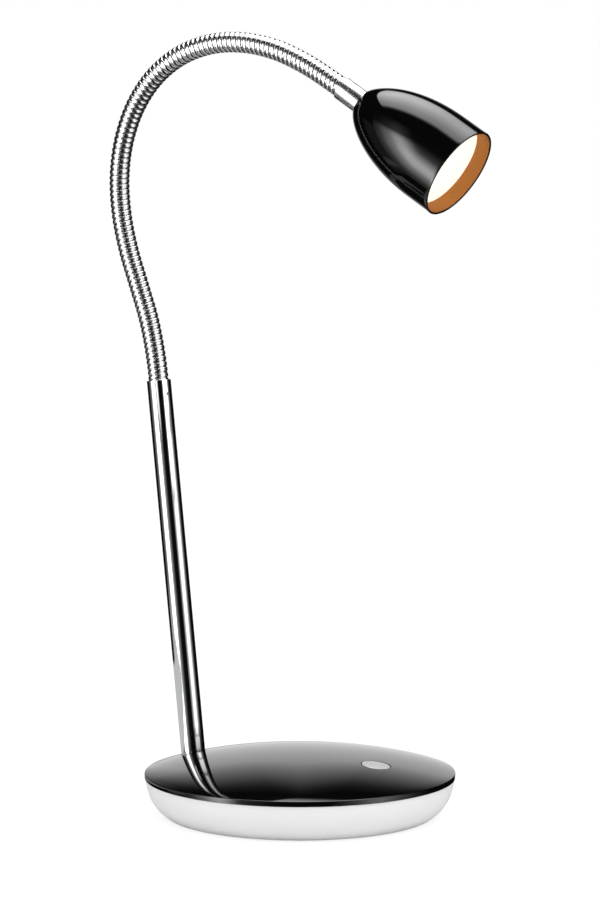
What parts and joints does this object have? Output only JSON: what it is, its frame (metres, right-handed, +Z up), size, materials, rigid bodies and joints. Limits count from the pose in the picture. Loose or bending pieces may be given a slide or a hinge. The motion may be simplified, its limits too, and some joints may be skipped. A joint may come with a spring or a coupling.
{
  "type": "desk lamp",
  "caption": "Gooseneck desk lamp with a domed round base, a leaning stem, a flexible neck and a small bell-shaped shade.",
  "frame": {"origin": "centre of the round base, on the face it stands on", "axes": "+Z up, +X from the stem's foot towards the head, XZ is the plane of the arm"},
  "size_m": [0.2041, 0.15, 0.3764],
  "materials": {
    "cover_plastic": "high gloss black",
    "shell_plastic": "gloss white",
    "button_metal": "satin",
    "chrome_plate": "polished",
    "shade_enamel": "gloss black",
    "copper_lacquer": "copper-coloured lacquer",
    "opal_plastic": "opal",
    "rubber": "matte",
    "plain_steel": "plain",
    "cast_iron": "as cast",
    "turned_brass": "turned",
    "sink_aluminium": "anodised",
    "board_laminate": "solder mask",
    "component_plastic": "moulded",
    "led_phosphor": "cast resin"
  },
  "bodies": {
    "root": {"base_cover": "cover_plastic", "base_shell": "shell_plastic", "cord_gland": "rubber", "bottom_plate": "plain_steel", "foot_pad": "rubber", "base_screws": "plain_steel", "ballast": "cast_iron", "stem": "chrome_plate", "stem_grub_screw": "plain_steel", "stem_bracket": "cast_iron", "bracket_screws": "plain_steel", "stem_clamp_screw": "plain_steel", "neck_anchor": "turned_brass", "board_standoffs": "component_plastic", "driver_board": "board_laminate", "driver_parts": "component_plastic", "switch_board": "board_laminate", "switch_body": "component_plastic"},
    "button": {"button_cap": "button_metal", "button_plunger": "component_plastic"},
    "link_01": {"neck_link_01": "chrome_plate"},
    "link_02": {"neck_link_02": "chrome_plate"},
    "link_03": {"neck_link_03": "chrome_plate"},
    "link_04": {"neck_link_04": "chrome_plate"},
    "link_05": {"neck_link_05": "chrome_plate"},
    "link_06": {"neck_link_06": "chrome_plate"},
    "link_07": {"neck_link_07": "chrome_plate"},
    "link_08": {"neck_link_08": "chrome_plate"},
    "link_09": {"neck_link_09": "chrome_plate"},
    "link_10": {"neck_link_10": "chrome_plate"},
    "link_11": {"neck_link_11": "chrome_plate"},
    "link_12": {"neck_link_12": "chrome_plate"},
    "link_13": {"neck_link_13": "chrome_plate"},
    "link_14": {"neck_link_14": "chrome_plate"},
    "link_15": {"neck_link_15": "chrome_plate", "head_sleeve": "chrome_plate", "sleeve_grub_screw": "plain_steel", "shade": "shade_enamel", "shade_nut": "plain_steel", "heat_sink": "sink_aluminium", "led_board": "board_laminate", "led_chips": "led_phosphor", "diffuser": "opal_plastic", "mouth_ring": "copper_lacquer"}
  },
  "joints": [
    {"name": "button_press", "type": "slide", "parent": "root", "child": "button", "axis": [-0.1481, 0, -0.989], "range_m": [0, 0.0012], "stiffness_N_per_m": 500, "springref_m": -0.001},
    {"name": "neck_lower", "type": "hinge", "parent": "root", "child": "link_01", "pos_m": [-0.08, 0, 0.2105], "axis": [0, 1, 0], "range_deg": [-10, 10]},
    {"name": "neck_side", "type": "hinge", "parent": "link_01", "child": "link_02", "pos_m": [-0.08275, 0, 0.22848], "axis": [0.9884, 0, 0.1516], "range_deg": [-10, 10]},
    {"name": "neck_lower_2", "type": "hinge", "parent": "link_02", "child": "link_03", "pos_m": [-0.08782, 0, 0.24595], "axis": [0, 1, 0], "range_deg": [-10, 10]},
    {"name": "neck_side_2", "type": "hinge", "parent": "link_03", "child": "link_04", "pos_m": [-0.09449, 0, 0.26288], "axis": [0.9303, 0, 0.3668], "range_deg": [-10, 10]},
    {"name": "neck_lower_3", "type": "hinge", "parent": "link_04", "child": "link_05", "pos_m": [-0.09956, 0, 0.28034], "axis": [0, 1, 0], "range_deg": [-10, 10]},
    {"name": "neck_side_3", "type": "hinge", "parent": "link_05", "child": "link_06", "pos_m": [-0.10239, 0, 0.2983], "axis": [0.9878, 0, 0.1556], "range_deg": [-10, 10]},
    {"name": "neck_upper", "type": "hinge", "parent": "link_06", "child": "link_07", "pos_m": [-0.10157, 0, 0.31645], "axis": [0, 1, 0], "range_deg": [-15, 5]},
    {"name": "neck_upper_2", "type": "hinge", "parent": "link_07", "child": "link_08", "pos_m": [-0.09676, 0, 0.33396], "axis": [0, 1, 0], "range_deg": [-15, 5]},
    {"name": "neck_upper_3", "type": "hinge", "parent": "link_08", "child": "link_09", "pos_m": [-0.08764, 0, 0.34963], "axis": [0, 1, 0], "range_deg": [-15, 5]},
    {"name": "neck_upper_4", "type": "hinge", "parent": "link_09", "child": "link_10", "pos_m": [-0.07419, 0, 0.36178], "axis": [0, 1, 0], "range_deg": [-15, 5]},
    {"name": "neck_upper_5", "type": "hinge", "parent": "link_10", "child": "link_11", "pos_m": [-0.05767, 0, 0.36926], "axis": [0, 1, 0], "range_deg": [-15, 5]},
    {"name": "neck_upper_6", "type": "hinge", "parent": "link_11", "child": "link_12", "pos_m": [-0.03967, 0, 0.3715], "axis": [0, 1, 0], "range_deg": [-15, 5]},
    {"name": "neck_side_4", "type": "hinge", "parent": "link_12", "child": "link_13", "pos_m": [-0.02162, 0, 0.3695], "axis": [-0.1101, 0, -0.9939], "range_deg": [-10, 10]},
    {"name": "neck_upper_7", "type": "hinge", "parent": "link_13", "child": "link_14", "pos_m": [-0.00443, 0, 0.36364], "axis": [0, 1, 0], "range_deg": [-15, 5]},
    {"name": "neck_side_5", "type": "hinge", "parent": "link_14", "child": "link_15", "pos_m": [0.01161, 0, 0.35504], "axis": [-0.4727, 0, -0.8812], "range_deg": [-10, 10]}
  ],
  "couplings": [
    {"joint": "neck_lower_2", "follows": "neck_lower", "ratio": 1},
    {"joint": "neck_side_2", "follows": "neck_side", "ratio": 1},
    {"joint": "neck_lower_3", "follows": "neck_lower", "ratio": 1},
    {"joint": "neck_side_3", "follows": "neck_side", "ratio": 1},
    {"joint": "neck_upper_2", "follows": "neck_upper", "ratio": 1},
    {"joint": "neck_upper_3", "follows": "neck_upper", "ratio": 1},
    {"joint": "neck_upper_4", "follows": "neck_upper", "ratio": 1},
    {"joint": "neck_upper_5", "follows": "neck_upper", "ratio": 1},
    {"joint": "neck_upper_6", "follows": "neck_upper", "ratio": 1},
    {"joint": "neck_side_4", "follows": "neck_side", "ratio": 1},
    {"joint": "neck_upper_7", "follows": "neck_upper", "ratio": 1},
    {"joint": "neck_side_5", "follows": "neck_side", "ratio": 1}
  ]
}
